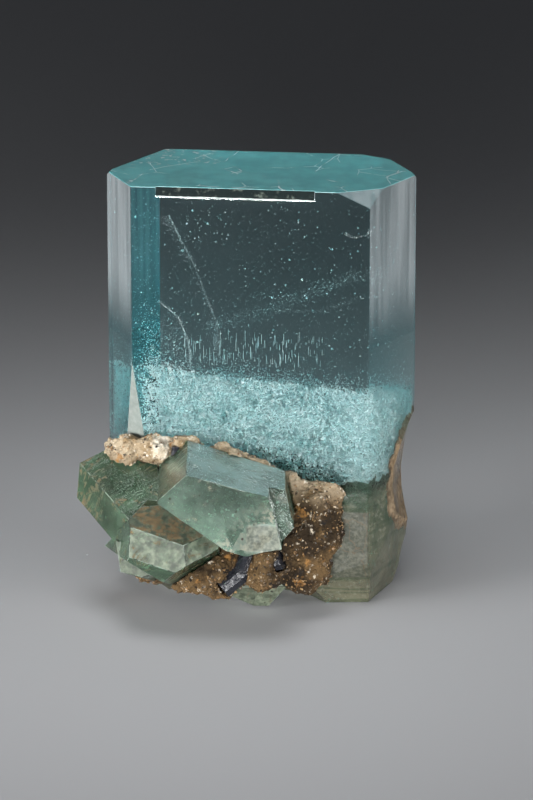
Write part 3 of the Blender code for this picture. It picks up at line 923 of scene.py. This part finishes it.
def growth_tubes(rng, white):
    """Upright growth tubes just above the milky zone, as solid rods."""
    count = 130
    x = rng.uniform(-12.0, 8.4, count)
    z = rng.uniform(37.5, 41.8, count)
    feet = inner(x, z, rng.uniform(1.0, 9.0, count))
    widths = rng.uniform(0.018, 0.035, count)
    rods("growth_tubes", feet, widths, rng.uniform(0.4, 1.7, count), white)


def inclusions(white, teal):
    """All that lies inside the crystals. The random draws depend on the order."""
    rng = np.random.default_rng(11)
    milk_bubbles(rng, white)

    points = veil_points(rng)
    points = points[inside_prism(points, SKIN)]
    sizes = rng.exponential(0.014, len(points)) + 0.02
    crumbs("bubble_veils", points, sizes, teal, 7)
    sprinkled(rng, "fine_dust", (-24, -12, 30), (22, 12, 64), 9000, 0.020, 0.016, teal, 8)
    sprinkled(rng, "bright_specks", (-20, -9.5, 37), (16, 4, 63), 320, 0.045, 0.05, white, 12)

    sugar = milk_points(rng, 1800)
    sizes = rng.uniform(0.10, 0.20, len(sugar))
    crumbs("bright_sugar", sugar, sizes, white, 14)
    glints(rng, white)
    green_specks(rng, white)
    level_cracks(rng, white)
    bubble_cluster(rng, white)
    growth_tubes(rng, white)


# Matrix ----------------------------------------------------------------------------


def surface_points(mesh, count, rng):
    """Random points on a mesh with their normals, in metres."""
    mesh.calc_loop_triangles()
    co = np.empty(len(mesh.vertices) * 3)
    mesh.vertices.foreach_get("co", co)
    co = co.reshape(-1, 3)
    tri = np.empty(len(mesh.loop_triangles) * 3, np.int32)
    mesh.loop_triangles.foreach_get("vertices", tri)
    tri = tri.reshape(-1, 3)
    a, b, c = co[tri[:, 0]], co[tri[:, 1]], co[tri[:, 2]]
    cross = np.cross(b - a, c - a)
    area = np.linalg.norm(cross, axis=1)
    pick = rng.choice(len(tri), count, p=area / area.sum())
    u, v = rng.uniform(size=(2, count, 1))
    flip = u + v > 1
    u, v = np.where(flip, 1 - u, u), np.where(flip, 1 - v, v)
    points = a[pick] + u * (b - a)[pick] + v * (c - a)[pick]
    return points, cross[pick] / area[pick][:, None]


def rocky_matrix(material):
    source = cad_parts["feldspar_matrix"]
    thing = object_from("feldspar_rock", source.data.copy(), material)
    bpy.context.view_layer.objects.active = thing
    remesh = thing.modifiers.new("even", "REMESH")
    remesh.mode = "VOXEL"
    remesh.voxel_size = ROCK_VOXEL * MM
    for name, kind, size, height in ROCK_RELIEF:
        texture = bpy.data.textures.new(name, kind)
        texture.noise_scale = size * MM
        if kind == "VORONOI":
            texture.noise_intensity = 1.0
        else:
            texture.noise_depth = 4
        push = thing.modifiers.new(name, "DISPLACE")
        push.texture = texture
        push.strength = height * MM
        push.mid_level = 0.5
        push.texture_coords = "LOCAL"
    for modifier in list(thing.modifiers):
        bpy.ops.object.modifier_apply(modifier=modifier.name)
    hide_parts("feldspar_matrix")
    return thing


def angular_grain(rng):
    """Corner points of a small broken block, as a convex hull."""
    bm = bmesh.new()
    points = rng.uniform(-1, 1, (9, 3))
    for p in points / np.linalg.norm(points, axis=1)[:, None]:
        bm.verts.new(p * rng.uniform(0.75, 1.0))
    bmesh.ops.convex_hull(bm, input=bm.verts)
    bmesh.ops.delete(bm, geom=[v for v in bm.verts if not v.link_faces], context="VERTS")
    bmesh.ops.triangulate(bm, faces=bm.faces)
    verts = np.array([v.co for v in bm.verts])
    bm.verts.index_update()
    faces = np.array([[v.index for v in f.verts] for f in bm.faces])
    bm.free()
    return verts, faces


def grains(name, points, sizes, material, seed):
    """One mesh with a broken block at each point (m), of this size (mm)."""
    rng = np.random.default_rng(seed)
    shapes = [angular_grain(rng) for _ in range(24)]
    spin = turns(len(points), rng)
    verts, faces, base = [], [], 0
    for i, (point, size) in enumerate(zip(points, sizes)):
        shape, tri = shapes[rng.integers(len(shapes))]
        local = (shape * rng.uniform(0.7, 1.2, 3)) @ spin[i].T * size * MM
        verts.append(local + point)
        faces.append(tri + base)
        base += len(shape)
    mesh = bpy.data.meshes.new(name)
    mesh.from_pydata(np.concatenate(verts).tolist(), [], np.concatenate(faces).tolist())
    return object_from(name, mesh, material)


def scatter_grains(rock):
    """Grains on the rock, clear of the crystals, darker lower down."""
    rng = np.random.default_rng(31)
    crystals = [node for node, *_ in GREEN_CRYSTALS] + ["aquamarine_crystal"]
    trees = [tree_of(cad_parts[node].data) for node in crystals]
    points, normals = surface_points(rock.data, GRAIN_COUNT, rng)
    free = []
    for p in points:
        near = min(tree.find_nearest(Vector(p))[3] for tree in trees)
        free.append(near > GRAIN_GAP * MM)
    free = np.array(free)
    points, normals = points[free], normals[free]
    height = points[:, 2] + ROCK_TILT * points[:, 0] + rng.normal(0, 0.0022, len(points))
    light = height > ROCK_LIGHT
    kinds = rng.uniform(size=len(points))
    choices = (
        light & (kinds < 0.42),
        ((kinds >= 0.42) & (kinds < 0.62)) | (~light & (kinds < 0.25)),
        ~light & (kinds >= 0.25) & (kinds < 0.62),
        kinds > 0.955,
    )
    for number, (chosen, (name, small, big, *look)) in enumerate(zip(choices, GRAINS)):
        sizes = rng.uniform(small, big, int(chosen.sum())) ** 1.2
        sunk = points[chosen] - normals[chosen] * GRAIN_SUNK * MM
        grains(name, sunk, sizes, grain_material(*look), 40 + number)


# Stage ----------------------------------------------------------------------------


def make_floor():
    bm = bmesh.new()
    bmesh.ops.create_grid(bm, x_segments=1, y_segments=1, size=2.0)
    floor = bpy.data.objects.new("floor", mesh_from("floor", bm))
    # Just under the foot, so that the two don't share a plane.
    floor.location.z = -0.00005
    floor.data.materials.append(floor_material())
    bpy.context.scene.collection.objects.link(floor)


def make_dome():
    world = bpy.data.worlds.new("studio")
    bpy.context.scene.world = world
    world.use_nodes = True
    tree = world.node_tree
    sky = tree.nodes["Background"]
    sky.inputs["Strength"].default_value = 1.0
    ray = tree.nodes.new("ShaderNodeTexCoord").outputs["Generated"]
    toward = tree.nodes.new("ShaderNodeVectorMath")
    toward.operation = "DOT_PRODUCT"
    tree.links.new(ray, toward.inputs[0])
    toward.inputs[1].default_value = Vector(DOME_TOWARD).normalized()
    blend = tree.nodes.new("ShaderNodeMapRange")
    blend.interpolation_type = "SMOOTHSTEP"
    blend.inputs["From Min"].default_value = DOME_FADE[0]
    blend.inputs["From Max"].default_value = DOME_FADE[1]
    tree.links.new(toward.outputs["Value"], blend.inputs["Value"])
    colour = tree.nodes.new("ShaderNodeMix")
    colour.data_type = "RGBA"
    tree.links.new(blend.outputs["Result"], colour.inputs["Factor"])
    colour.inputs[6].default_value = rgb(*DOME_DIM)
    colour.inputs[7].default_value = rgb(*DOME_BRIGHT)
    tree.links.new(colour.outputs[2], sky.inputs["Color"])


def make_lights():
    for name, place, aim, size, power, spread in LIGHTS:
        data = bpy.data.lights.new(name, "AREA")
        data.shape = "RECTANGLE"
        data.size, data.size_y = size
        data.energy = power
        data.spread = math.radians(spread)
        lamp = bpy.data.objects.new(name, data)
        bpy.context.scene.collection.objects.link(lamp)
        lamp.visible_camera = False
        lamp.location = place
        toward = Vector(aim) - Vector(place)
        lamp.rotation_euler = toward.to_track_quat("-Z", "Y").to_euler()


def make_camera():
    data = bpy.data.cameras.new("camera")
    data.lens = LENS
    data.sensor_width = SENSOR
    data.clip_end = 20.0
    camera = bpy.data.objects.new("camera", data)
    pitch = math.radians(PITCH)
    back = Vector((0.0, -math.cos(pitch), math.sin(pitch)))
    camera.location = Vector((0.0, 0.0, AIM_HEIGHT)) + back * DISTANCE
    camera.rotation_euler = (math.pi / 2 - pitch, 0.0, 0.0)
    bpy.context.scene.collection.objects.link(camera)
    bpy.context.scene.camera = camera


def render_look():
    scene = bpy.context.scene
    scene.view_settings.view_transform = "Standard"
    scene.cycles.max_bounces = 16
    scene.cycles.transmission_bounces = 16
    scene.cycles.glossy_bounces = 8
    scene.cycles.diffuse_bounces = 9


# Build ------------------------------------------------------------------------------


def dress(node, material):
    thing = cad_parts[node]
    thing.data.materials.clear()
    thing.data.materials.append(material)


def main():
    make_camera()
    make_floor()
    make_dome()
    make_lights()
    render_look()
    clear_crystal(aquamarine_faces())
    edge = edge_material()
    # blue is how strongly a reflection is painted on a crystal's top face.
    for node, name, axis, body, rust, clear, blue, slot in GREEN_CRYSTALS:
        faces = green_faces(f"{name}_faces", axis, body, rust, clear, blue)
        worn_crystal(node, name, faces, edge)
    black = schorl_material()
    for number in range(1, 5):
        dress(f"schorl_{number}", black)
    white = bubble_material("milky_bubbles", rgb(0.68, 0.96, 0.96))
    teal = bubble_material("veil_bubbles", rgb(0.85, 0.97, 0.98))
    inclusions(white, teal)
    rock = rocky_matrix(rock_material())
    scatter_grains(rock)


main()
